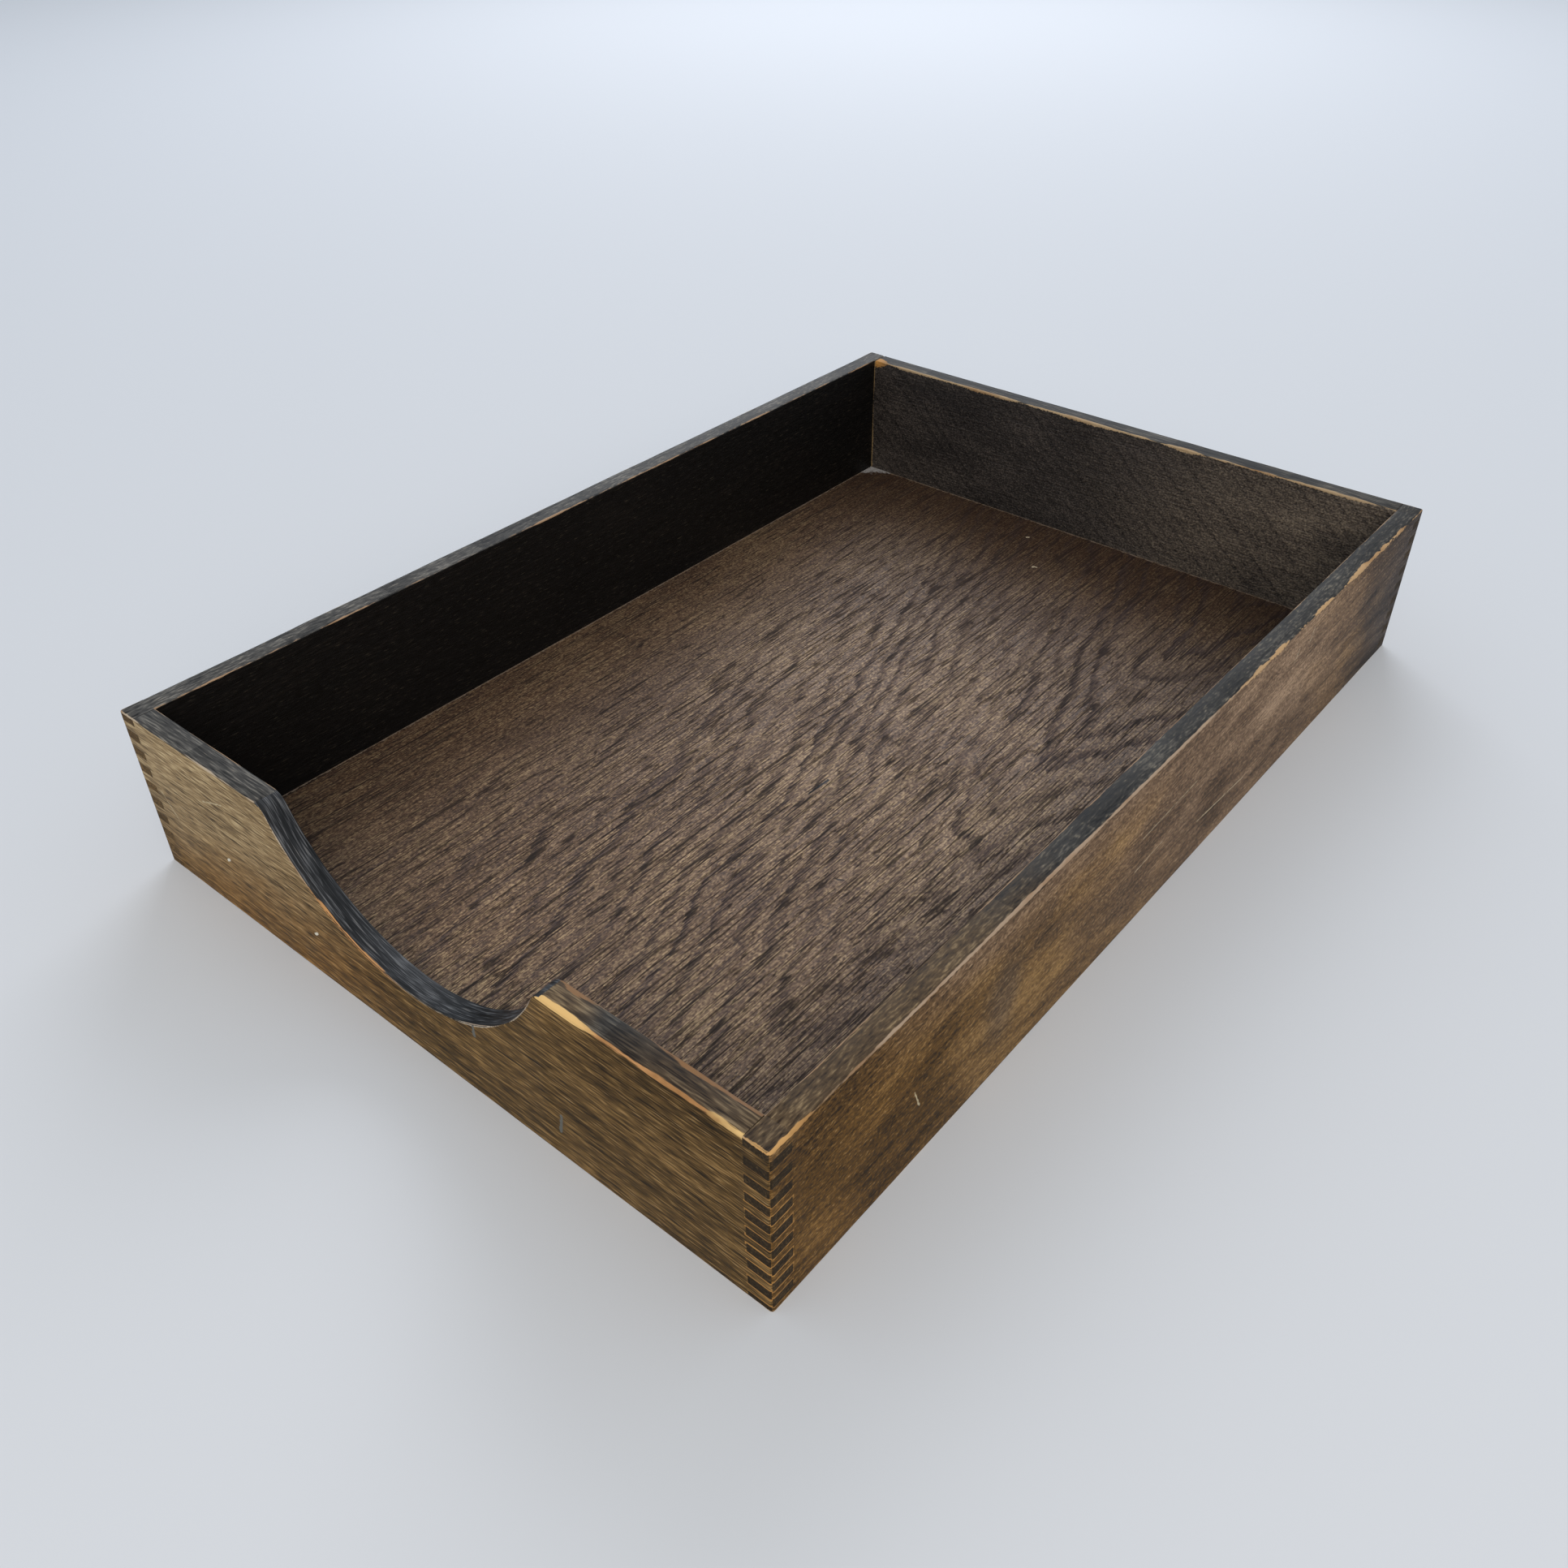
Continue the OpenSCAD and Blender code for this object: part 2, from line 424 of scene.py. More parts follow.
def flame_group():
    """Late wood. Lean says how slowly the arches narrow, Tip how blunt they are, Ring how far apart."""
    numbers = ["Along", "Across", "Lean", "Tip", "Ring", "Wander", "Jag"]
    tree, given, ends = group("flames", [], numbers, ["Line"])
    place = add(tree, "ShaderNodeCombineXYZ", {0: given["Along"], 1: given["Across"]})
    bends, threads = (
        add(tree, "ShaderNodeVectorMath", {0: place, 1: (1 / long, 1 / wide, 0)}, operation="MULTIPLY")
        for long, wide in (BEND, THREAD)
    )
    slow = add(tree, "ShaderNodeTexNoise", {"Vector": bends, "Scale": 1, "Detail": 3})
    thread = add(tree, "ShaderNodeTexNoise", {"Vector": threads, "Scale": 1, "Detail": 2})
    pair = add(tree, "ShaderNodeCombineXYZ", {0: given["Across"], 1: given["Tip"]})
    arch = add(tree, "ShaderNodeVectorMath", {0: pair}, operation="LENGTH").outputs["Value"]
    leaning = add(tree, "ShaderNodeMath", {0: given["Along"], 1: given["Lean"]}, operation="MULTIPLY")
    flames = add(tree, "ShaderNodeMath", {0: leaning, 1: arch}, operation="SUBTRACT")
    bent = add(tree, "ShaderNodeMath", {0: slow, 1: given["Wander"], 2: flames}, operation="MULTIPLY_ADD")
    jagged = add(tree, "ShaderNodeMath", {0: thread, 1: given["Jag"], 2: bent}, operation="MULTIPLY_ADD")
    count = add(tree, "ShaderNodeMath", {0: jagged, 1: given["Ring"]}, operation="DIVIDE")
    phase = add(tree, "ShaderNodeMath", {0: count}, operation="FRACT")
    fading = {"Value": phase, "From Min": 0.5, "From Max": 0.02}
    edge = add(tree, "ShaderNodeMapRange", fading, interpolation_type="SMOOTHSTEP")
    number = add(tree, "ShaderNodeMath", {0: count}, operation="FLOOR")
    chance = add(tree, "ShaderNodeTexWhiteNoise", {"W": number}, noise_dimensions="1D")
    strength = add(tree, "ShaderNodeMapRange", {"Value": chance, "To Min": 0.35})
    line = add(tree, "ShaderNodeMath", {0: edge, 1: strength}, operation="MULTIPLY")
    tree.links.new(line.outputs[0], ends["Line"])
    return tree


FLAMES = flame_group()
print("figure:", FLAMES.name, "of", len(FLAMES.nodes), "nodes")

# %% [markdown]
# ## Laying wear over a colour
# A finish starts with the colour of the stained grain. Patches, rubbed strips and scratches are then laid
# over it one by one, as they came to the real tray, so each of these functions takes a colour and gives
# back a new one.

# %% Patches, strips and scratches over a colour
AMBER = "#8a6238"  # beech whose stain has only thinned
FINGERTIP = 17  # size in mm of the noise that makes a rubbed strip wider and narrower
CRUMB = 1.5  # size in mm of the noise that breaks up a scratch or a line of dust


def graded(tree, tone, tones):
    """A colour that runs through three screen colours as the tone goes from 0 to 1."""
    low = add(tree, "ShaderNodeMapRange", {"Value": tone, "From Max": 0.5})
    high = add(tree, "ShaderNodeMapRange", {"Value": tone, "From Min": 0.5})
    dark, mid, pale = (linear(t) for t in tones)
    first = add(tree, "ShaderNodeMix", {"Factor": low, "A": dark, "B": mid}, data_type="RGBA")
    return add(tree, "ShaderNodeMix", {"Factor": high, "A": first, "B": pale}, data_type="RGBA")


def patched(tree, colour, patches, mm, clouds, tone):
    """Lays soft patches over a colour. Each has a centre and a reach in mm, three tones and a strength."""
    for centre, reach, tones, strength in patches:
        asked = {"Place": mm, "Centre": centre, "Reach": reach, "Cloud": clouds}
        spot = add(tree, "ShaderNodeGroup", asked, node_tree=PATCH)
        amount = add(tree, "ShaderNodeMath", {0: spot, 1: strength}, operation="MULTIPLY")
        shade = graded(tree, tone, tones)
        colour = add(tree, "ShaderNodeMix", {"Factor": amount, "A": colour, "B": shade}, data_type="RGBA")
    return colour


def rubbed(tree, colour, strips, mm, clouds, flecks):
    """Lays strips of bare wood over a colour: arris, width in mm, raggedness, tint, centre and reach."""
    distances = add(tree, "ShaderNodeGroup", {}, node_tree=ARRISES)
    slow = add(tree, "ShaderNodeTexNoise", {"Vector": mm, "Scale": 1 / FINGERTIP, "Detail": 1})
    fresh = add(tree, "ShaderNodeMapRange", {"Value": clouds, "From Min": 0.32, "From Max": 0.48})
    for arris, width, ragged, tint, centre, reach in strips:
        asked = {"Place": mm, "Centre": centre, "Reach": reach, "Cloud": 0.5}
        zone = add(tree, "ShaderNodeGroup", asked, node_tree=PATCH)
        local = add(tree, "ShaderNodeMath", {0: zone, 1: width}, operation="MULTIPLY")
        edge = distances.outputs[arris]
        asked = {"Distance": edge, "Width": local, "Ragged": ragged, "Slow": slow, "Flecks": flecks}
        strip = add(tree, "ShaderNodeGroup", asked, node_tree=STRIP)
        bare = add(tree, "ShaderNodeMath", {0: strip, 1: zone}, operation="MULTIPLY")
        woods = {"Factor": fresh, "A": linear(AMBER), "B": linear(tint)}
        wood = add(tree, "ShaderNodeMix", woods, data_type="RGBA")
        colour = add(tree, "ShaderNodeMix", {"Factor": bare, "A": colour, "B": wood}, data_type="RGBA")
    return colour


def scratched(tree, colour, scratches, mm):
    """Lays scratches over a colour. Each has a start and an end in mm, a width in mm and a tint."""
    quick = add(tree, "ShaderNodeTexNoise", {"Vector": mm, "Scale": 1 / CRUMB, "Detail": 2})
    centred = {0: quick.outputs["Color"], 1: (-0.5, -0.5, -0.5)}
    shake = add(tree, "ShaderNodeVectorMath", centred, operation="ADD")
    for start, end, width, tint in scratches:
        asked = {"Place": mm, "Shake": shake, "Start": start, "End": end, "Width": width, "Quick": quick}
        mark = add(tree, "ShaderNodeGroup", asked, node_tree=SCRATCH)
        laid = {"Factor": mark, "A": colour, "B": linear(tint)}
        colour = add(tree, "ShaderNodeMix", laid, data_type="RGBA")
    return colour


# %% [markdown]
# ## Stained beech
# The boards are taken to be beech, planed, stained dark and wiped with a thin coat of shellac. Beech shows
# thousands of short flecks, a few millimetres long and less than half a millimetre thick. The stain sinks
# deepest into end grain, is drawn near black on the inside, dark stain with painted shade added to it, and
# has worn to a golden brown outside. So one recipe is mixed in several depths of colour. What the eye gets
# is a low, broken sheen: the coat is too thin to fill the grain, so light catches on the flecks and never in
# one clear spot. The palest parts of the flecks carry a painted highlight for that light.
# Flecks more than half a millimetre thick are drawn coarser than real ones, so that they show.

# %% The recipe for a board's face
ORDER = {"x": (0, 2, 1), "y": (1, 2, 0)}  # which of x, y, z runs along, across and through a board
FIBRE = (24, 0.9)  # length and thickness in mm of the long fibres
CLOUD = (45, 20)  # length and width in mm of the clouds that uneven stain leaves
PAINTED_GLINT = "#b9a684"  # painted highlight for the palest parts of a fleck


def grain_place(tree, mm, grain):
    """The point in mm along, across and through the grain, and the along and across parts alone."""
    parts = add(tree, "ShaderNodeSeparateXYZ", {0: mm}).outputs
    if grain == "round the scoop":
        height = add(tree, "ShaderNodeMath", {0: SCOOP_Z, 1: parts[2]}, operation="SUBTRACT")
        angle = add(tree, "ShaderNodeMath", {0: parts[0], 1: height}, operation="ARCTAN2")
        along = add(tree, "ShaderNodeMath", {0: angle, 1: SCOOP_R}, operation="MULTIPLY")
        across, through = parts[1], 0
    else:
        along, across, through = (parts[i] for i in ORDER[grain])
    return add(tree, "ShaderNodeCombineXYZ", {0: along, 1: across, 2: through}), along, across


def grain_noises(tree, grain_mm, fleck):
    """Flecks, fibres and clouds: the same noise drawn out along the grain by three sizes."""
    noises = []
    for (long, thick), look in (
        (fleck, {"Detail": 2}),
        (FIBRE, {"Detail": 2}),
        (CLOUD, {"Detail": 5, "Roughness": 0.62}),
    ):
        stretch = (1 / long, 1 / thick, 1 / thick)
        place = add(tree, "ShaderNodeVectorMath", {0: grain_mm, 1: stretch}, operation="MULTIPLY")
        noises.append(add(tree, "ShaderNodeTexNoise", {"Vector": place, "Scale": 1, **look}))
    return noises


def stained_beech(name, grain, tones, fleck=(3.5, 0.42), weights=(1.1, 0.8, 1.0), flames=(27, 0.1, 6, 4.2),
                  line=0.35, painted_glints=0.35, patches=(), strips=(), scratches=(),
                  rough=0.6, gloss=0.08, bump=0.08):
    """
    A board's face. tones are three screen colours from dark to pale. fleck is the length and thickness of a
    fleck in mm. weights say how much flecks, fibres and clouds count. flames are axis, lean, tip and ring,
    line is how dark their late wood is, and glints is how strongly a painted highlight lies on the palest
    parts of the flecks. bump is in mm.
    """
    material, tree = empty_material(name)
    mm = place_in_mm(tree)
    grain_mm, along, across = grain_place(tree, mm, grain)
    flecks, fibres, clouds = grain_noises(tree, grain_mm, fleck)
    axis, lean, tip, ring = flames
    from_axis = add(tree, "ShaderNodeMath", {0: across, 1: axis}, operation="SUBTRACT")
    arches = {"Lean": lean, "Tip": tip, "Ring": ring, "Wander": 14, "Jag": 1.6}
    late = add(tree, "ShaderNodeGroup", {"Along": along, "Across": from_axis, **arches}, node_tree=FLAMES)

    tone = 0.5 - sum(weights) / 2
    for part, weight in ((flecks, weights[0]), (fibres, weights[1]), (clouds, weights[2]), (late, -line)):
        tone = add(tree, "ShaderNodeMath", {0: part, 1: weight, 2: tone}, operation="MULTIPLY_ADD")
    colour = patched(tree, graded(tree, tone, tones), patches, mm, clouds, tone)
    # Painted highlight: the palest parts of the flecks are mixed towards a pale colour, for light catching on
    # them.
    palest = {"Value": flecks, "From Min": 0.64, "From Max": 0.8, "To Max": painted_glints}
    glint = add(tree, "ShaderNodeMapRange", palest)
    colour = add(tree, "ShaderNodeMix", {"Factor": glint, "A": colour, "B": linear(PAINTED_GLINT)}, data_type="RGBA")
    colour = rubbed(tree, colour, strips, mm, clouds, flecks)
    colour = scratched(tree, colour, scratches, mm)

    height = add(tree, "ShaderNodeMath", {0: flecks, 1: fibres}, operation="ADD")
    relief = add(tree, "ShaderNodeBump", {"Height": height, "Distance": bump * MM})
    dull = {"To Min": rough - 0.08, "To Max": rough + 0.1}
    roughness = add(tree, "ShaderNodeMapRange", {"Value": flecks, "From Min": 0.3, "From Max": 0.7, **dull})
    look = {"Base Color": colour, "Roughness": roughness, "Normal": relief, "Specular IOR Level": gloss}
    add(tree, "ShaderNodeOutputMaterial", {"Surface": add(tree, "ShaderNodeBsdfPrincipled", look)})
    return material


# %% [markdown]
# ## Finishes for each face
# Each face of a board gets its own depth of the recipe. Faces are told apart by the way they look: out,
# in, up, down, or along the grain, which is end grain.

# %% Colours of the finishes, from dark to pale
GOLDEN = ("#231a0d", "#5b4526", "#97774a")
HONEY = ("#2f2211", "#6f5330", "#a48253")
# painted sheen: the paler tan of the front's upper left
PAINTED_SHEEN_TAN = ("#4a3b28", "#9c8460", "#cdb890")
UMBER = ("#33271f", "#735d4b", "#ad937c")
SLATE = ("#211c1a", "#473d37", "#6c6158")
CHARCOAL = ("#161616", "#383633", "#6e6960")
# painted sheen: a paler grey for the light that the top edges catch from behind
PAINTED_SHEEN_GREY = ("#1f1f1f", "#4f4d4a", "#86827b")
BROWN_TOP = ("#2a1f16", "#5c4a35", "#957d5b")
# dark stain with painted shade: the insides are drawn darker than the stain, for the shade inside the tray
BLACK_STAIN_AND_SHADE = ("#040302", "#0b0908", "#191410")
CHARRED = ("#181514", "#312c29", "#514943")
CHARRED_PALE = ("#282320", "#5a5046", "#887a68")
END_BROWN = ("#1a140d", "#33281a", "#5a4830")
SCOOP_BLACK = ("#090a0b", "#232426", "#5f6062")
RUST = ("#281b0b", "#60441f", "#956e3a")
RUSSET = ("#352511", "#7d5a30", "#ab824d")

# %% Rubbed strips: arris, width, raggedness, tint, centre and reach, in mm
INNER_LINE = ("Inner", 0.36, 0.7, "#a98a6c", (0, 0, TOP), EVERYWHERE)
OUTER_LINE = ("Outer", 0.42, 0.7, "#b9a892", (0, 0, TOP), EVERYWHERE)
FOOT_LINE = ("Foot", 0.3, 1.0, "#9c8462", (0, 0, 0), EVERYWHERE)
THIN_LINES = [INNER_LINE, OUTER_LINE, FOOT_LINE]
FRONT_THIN_STRIP = ("Outer", 0.75, 0.5, "#cf9a66", (92, -OUT_Y, TOP), (42, 12, 20))
SHOULDER_STRIP = ("Outer", 1.2, 0.35, "#e4bb7a", (62, -OUT_Y, TOP), (15, 12, 20))
FINGER_STRIP = ("Outer", 1.15, 0.35, "#e6c080", (117, -OUT_Y, TOP), (8, 12, 20))
FRONT_STRIPS = [FRONT_THIN_STRIP, SHOULDER_STRIP, FINGER_STRIP]
FRONT_INNER_AMBER = ("Inner", 1.0, 1.0, "#86664a", (106, -IN_Y, TOP), (20, 6, 20))
SHOULDER_AMBER = ("Inner", 1.6, 1.0, "#8a6848", (62, -IN_Y, TOP), (8, 8, 20))
CORNER_STRIP = ("Outer", 0.8, 0.5, "#c89a60", (OUT_X, -184, TOP), (9, 12, 9))
SIDE_CHIPS = ("Outer", 0.72, 1.2, "#bd9a70", (OUT_X, 110, TOP), (12, 95, 20))
# partly rubbed wood and partly a painted highlight along the right board's rounded outer arris
SIDE_RUB_AND_HIGHLIGHT = ("Outer", 0.66, 0.35, "#a8917a", (OUT_X, -70, TOP), (12, 130, 20))
BACK_STRIP = ("Inner", 0.75, 1.0, "#ab9270", (0, IN_Y, TOP), (150, 8, 20))
BACK_KNOCK = ("Inner", 3.0, 0.5, "#b98545", (-IN_X, 184.5, TOP), (7, 8, 8))
FINGER_LINES = ("Finger", 0.42, 1.0, "#a87c44", (OUT_X, -OUT_Y, 26), (14, 14, 30))
SCOOP_LINE = ("Scoop", 0.28, 0.9, "#b5a692", (0, -OUT_Y, 40), EVERYWHERE)
SCOOP_CHIPS = ("Scoop", 0.5, 1.6, "#bf8c56", (-25, -OUT_Y, 28), (26, 8, 14))
CORNER_GLUE = ("Nook", 0.45, 0.9, "#86704f", (-IN_X, IN_Y, 30), (4, 4, 60))

# %% [markdown]
# The end boards share a top edge, end grain, a foot and an inside, and so do the side boards. The top edge
# is charcoal, with a paler grey painted sheen on the left, and brown at the front right, where hands rub it
# most. The end grain drinks the stain and dries dull, and hands hardly touch the inside, so it keeps the
# most of its coat, over a near-black colour that is dark stain and painted shade.

# %% Finishes that two boards share
TOP_EDGE = {
    "x": dict(
        fleck=(6, 0.5), weights=(1.8, 1.2, 0.9),
        patches=[
            ((112, -185, TOP), (26, 20, 30), BROWN_TOP, 0.7),
            ((62, -185, TOP), (10, 10, 20), BROWN_TOP, 0.8),
            # painted sheen on the left of the front board's top edge
            ((-95, -185, TOP), (50, 20, 30), PAINTED_SHEEN_GREY, 0.7),
        ],
        strips=[*THIN_LINES, *FRONT_STRIPS, FRONT_INNER_AMBER, SHOULDER_AMBER, BACK_STRIP, BACK_KNOCK],
    ),
    "y": dict(
        fleck=(2.5, 0.6), weights=(1.5, 0.7, 0.9),
        patches=[
            ((124, -150, TOP), (30, 60, 30), BROWN_TOP, 0.9),
            # painted sheen along the left board's top edge
            ((-124, 0, TOP), (30, 400, 30), PAINTED_SHEEN_GREY, 0.9),
        ],
        strips=[*THIN_LINES, SIDE_RUB_AND_HIGHLIGHT, CORNER_STRIP, SIDE_CHIPS],
    ),
}
END_GRAIN = dict(
    fleck=(0.6, 0.6), line=0.1, painted_glints=0.1, rough=0.65, strips=[*THIN_LINES, CORNER_STRIP],
    patches=[((-OUT_X, -OUT_Y, 25), (20, 20, 50), GOLDEN, 0.8)],
)
INSIDE = dict(strips=[INNER_LINE], painted_glints=0.1, rough=0.5, gloss=0.25)


def board_finishes(grain):
    """The finishes that the two boards with this grain share."""
    top = dict(line=0.2, painted_glints=0.2, rough=0.55, gloss=0.12, **TOP_EDGE[grain])
    return {
        "end": stained_beech(f"stained beech, end grain {grain}", grain, END_BROWN, **END_GRAIN),
        "top": stained_beech(f"stained beech, top edge {grain}", grain, CHARCOAL, **top),
        "foot": stained_beech(f"stained beech, foot {grain}", grain, SLATE, strips=[FOOT_LINE], rough=0.7),
        # the inside colour holds painted shade as well as dark stain
        "inside": stained_beech(f"stained beech, inside {grain}", grain, BLACK_STAIN_AND_SHADE, **INSIDE),
    }


shared = {grain: board_finishes(grain) for grain in ("x", "y")}
print("shared finishes:", [finish.name for board in shared.values() for finish in board.values()])

# %% [markdown]
# The outer faces have been handled for years. The front is the palest: its upper left is drawn paler tan, a
# painted sheen, and its foot has gone russet. The right side is browner, and darkest at its far end. The
# back and the left side are given the same finish with less wear, because they stand away from the hands.

# %% Finishes of the outer faces
front_marks = [
    ((-86, -OUT_Y, 22.4), (-85, -OUT_Y, 23.2), 0.9, "#d8d2c0"),
    ((-43.5, -OUT_Y, 17.6), (-42.6, -OUT_Y, 18.5), 0.9, "#d8d2c0"),
    ((27.5, -OUT_Y, 29), (27.5, -OUT_Y, 24.5), 1.0, "#64645e"),
    ((59, -OUT_Y, 17), (58, -OUT_Y, 10.5), 1.1, "#64645e"),
    ((-90, -OUT_Y, 43), (-79, -OUT_Y, 47), 0.5, "#b8a888"),
    ((-118, -OUT_Y, 33), (-112, -OUT_Y, 25), 0.5, "#b8a888"),
]
front_face = stained_beech(
    "stained beech, worn front", "x", GOLDEN, fleck=(5, 0.4), weights=(2.0, 1.1, 1.0),
    flames=(80, 0.02, 10, 6), line=0.1, scratches=front_marks,
    patches=[
        ((-70, -OUT_Y, 8), (50, 20, 26), RUSSET, 0.8),
        # painted sheen on the front's upper left
        ((-108, -OUT_Y, 54), (74, 20, 38), PAINTED_SHEEN_TAN, 0.85),
    ],
    strips=[*THIN_LINES, *FRONT_STRIPS, FINGER_LINES, SCOOP_LINE, SCOOP_CHIPS],
)
back_face = stained_beech(
    "stained beech, worn back", "x", GOLDEN, fleck=(7, 0.45), weights=(2.6, 1.4, 1.0),
    flames=(20, 0.08, 8, 5), strips=THIN_LINES,
    patches=[((60, OUT_Y, 40), (70, 20, 30), UMBER, 0.7)],
)
side_marks = [
    ((OUT_X, -20.5, 35), (OUT_X, 14, 36), 0.45, "#a8977c"),
    ((OUT_X, -22, 23), (OUT_X, -5, 24), 0.45, "#b5a48a"),
    ((OUT_X, 21.5, 15.2), (OUT_X, 56, 12.5), 0.5, "#bfae90"),
    ((OUT_X, -134, 28), (OUT_X, -131.5, 21), 0.5, "#b9a988"),
    ((OUT_X, 80, 45), (OUT_X, 82, 50), 0.5, "#b5a48a"),
    ((OUT_X, 91, 48), (OUT_X, 92.5, 53), 0.5, "#b5a48a"),
]
right_face = stained_beech(
    "stained beech, worn right side", "y", HONEY, fleck=(1.2, 0.6), weights=(1.5, 0.7, 1.5),
    flames=(27, 0.12, 10, 5), line=0.2, scratches=side_marks,
    patches=[
        ((OUT_X, 60, 35), (20, 110, 60), UMBER, 0.8),
        ((OUT_X, -90, 64), (20, 110, 17), UMBER, 0.7),
        ((OUT_X, 195, 30), (20, 50, 60), SLATE, 1),
        ((OUT_X, -170, 20), (20, 50, 60), RUST, 0.9),
        ((OUT_X, -94, 28), (20, 9, 16), SLATE, 0.5),
    ],
    strips=[*THIN_LINES, SIDE_RUB_AND_HIGHLIGHT, CORNER_STRIP, SIDE_CHIPS, FINGER_LINES],
)
left_face = stained_beech(
    "stained beech, worn left side", "y", HONEY, fleck=(2.0, 0.55), weights=(1.6, 0.8, 1.4),
    flames=(34, 0.1, 8, 5), strips=THIN_LINES,
    patches=[((-OUT_X, 120, 30), (20, 90, 50), UMBER, 0.8)],
)
print("outer faces:", front_face.name, back_face.name, right_face.name, left_face.name, sep=" | ")

# %% [markdown]
# Two faces catch the light in their own way. The back board's inside keeps a coat with some gloss over
# grain that was never filled, so it shows slanting dark flames. The scoop was sawn round and then
# polished by thumbs, so its grain runs round the curve and it shines a little more than the top edge.

# %% Finishes of the back board's inside and of the scoop
back_inside = stained_beech(
    "stained beech, charred inside back", "x", CHARRED, fleck=(0.8, 0.6), weights=(1.8, 0.5, 1.2),
    flames=(-30, -0.85, 5, 6), line=0.25, painted_glints=0.1, rough=0.5, gloss=0.35, bump=0.3,
    patches=[((110, IN_Y, 25), (90, 10, 60), CHARRED_PALE, 0.9)],
    strips=[BACK_STRIP, BACK_KNOCK, CORNER_GLUE],
)
scoop_edge = stained_beech(
    "stained beech, sawn scoop", "round the scoop", SCOOP_BLACK, fleck=(8, 0.4), weights=(2.6, 1.0, 1.0),
    strips=[SCOOP_LINE, SCOOP_CHIPS], rough=0.45, gloss=0.3, bump=0.1, painted_glints=0.15,
)
print("back and scoop:", back_inside.name, scoop_edge.name, sep=" | ")


# %% Dress the boards
def finish_of(node, normal, middle):
    """Which finish a face of a board gets, from the way it faces and its middle in mm."""
    along, out = (normal.x, normal.y * middle.y) if GRAIN[node] == "x" else (normal.y, normal.x * middle.x)
    if node == "front_board" and by_scoop(middle.x, middle.z) and abs(normal.y) < 0.5:
        return "scoop" if abs(middle.x) < SHOULDER else "top"
    if abs(along) > 0.75:
        return "end"
    if normal.z > 0.6:
        return "top"
    if normal.z < -0.6:
        return "foot"
    return "outside" if out > 0 else "inside"


def dress(node, **own):
    """Gives every face of a board its finish: the shared ones and the board's own."""
    finishes = {**shared[GRAIN[node]], **own}
    names = list(finishes)
    mesh = boards[node].data
    mesh.materials.clear()
    for name in names:
        mesh.materials.append(finishes[name])
    for face in mesh.polygons:
        face.material_index = names.index(finish_of(node, face.normal, face.center / MM))
    print(node, "wears", names)


dress("front_board", outside=front_face, scoop=scoop_edge)
dress("back_board", outside=back_face, inside=back_inside)
dress("left_side_board", outside=left_face)
dress("right_side_board", outside=right_face)

# %% [markdown]
# ## The floor panel
# The floor is taken to be plywood faced with oak veneer, sliced thin, stained, and left with hardly any
# coat. Oak has open pores, long dark lines along the grain that crowd together in each ring, and the stain
# gathers in them. The crowding draws the flames, whose tips point to the front, on an axis right of the
# middle. What the eye gets is a dry, silky face: the smooth wood between the pores gives a soft sheen, and
# the pores give almost none.

# %% Oak veneer: stain and figure
FLAME_AXIS = 75  # x, in mm, of the flames' axis
VENEER = ("#463427", "#7a5f48", "#b59872")
LATE_WOOD = "#4a4348"
PORE = "#1f1610"
PORES = ((0.8, 26), (1.05, 38), (1.4, 55))  # how far apart and how long, in mm
OAK_SPECK = (0.55, 1.1)  # width and length in mm, drawn coarser than a real cell so that they show
OAK_FIBRE = (0.7, 26)  # width and length in mm
OAK_CLOUD = 50  # size in mm of the clouds that uneven stain leaves


def oak_noises(tree, mm):
    """Specks, fibres and clouds. The grain runs along y."""
    speck, fibre = (
        add(tree, "ShaderNodeVectorMath", {0: mm, 1: (1 / wide, 1 / long, 1)}, operation="MULTIPLY")
        for wide, long in (OAK_SPECK, OAK_FIBRE)
    )
    specks = add(tree, "ShaderNodeTexNoise", {"Vector": speck, "Scale": 1, "Detail": 2})
    fibres = add(tree, "ShaderNodeTexNoise", {"Vector": fibre, "Scale": 1, "Detail": 2})
    uneven = {"Vector": mm, "Scale": 1 / OAK_CLOUD, "Detail": 4, "Roughness": 0.6}
    clouds = add(tree, "ShaderNodeTexNoise", uneven)
    return specks, fibres, clouds


def oak_flames(tree, x, y):
    """The dark late wood, which is faint at the left, where the veneer's figure runs out."""
    from_axis = add(tree, "ShaderNodeMath", {0: x, 1: FLAME_AXIS}, operation="SUBTRACT")
    arches = {"Along": y, "Across": from_axis, "Lean": 0.3, "Tip": 10, "Ring": 8, "Wander": 30, "Jag": 7}
    late = add(tree, "ShaderNodeGroup", arches, node_tree=FLAMES)
    faint = add(tree, "ShaderNodeMapRange", {"Value": x, "From Min": -85, "From Max": -15, "To Min": 0.25})
    return add(tree, "ShaderNodeMath", {0: late, 1: faint}, operation="MULTIPLY")


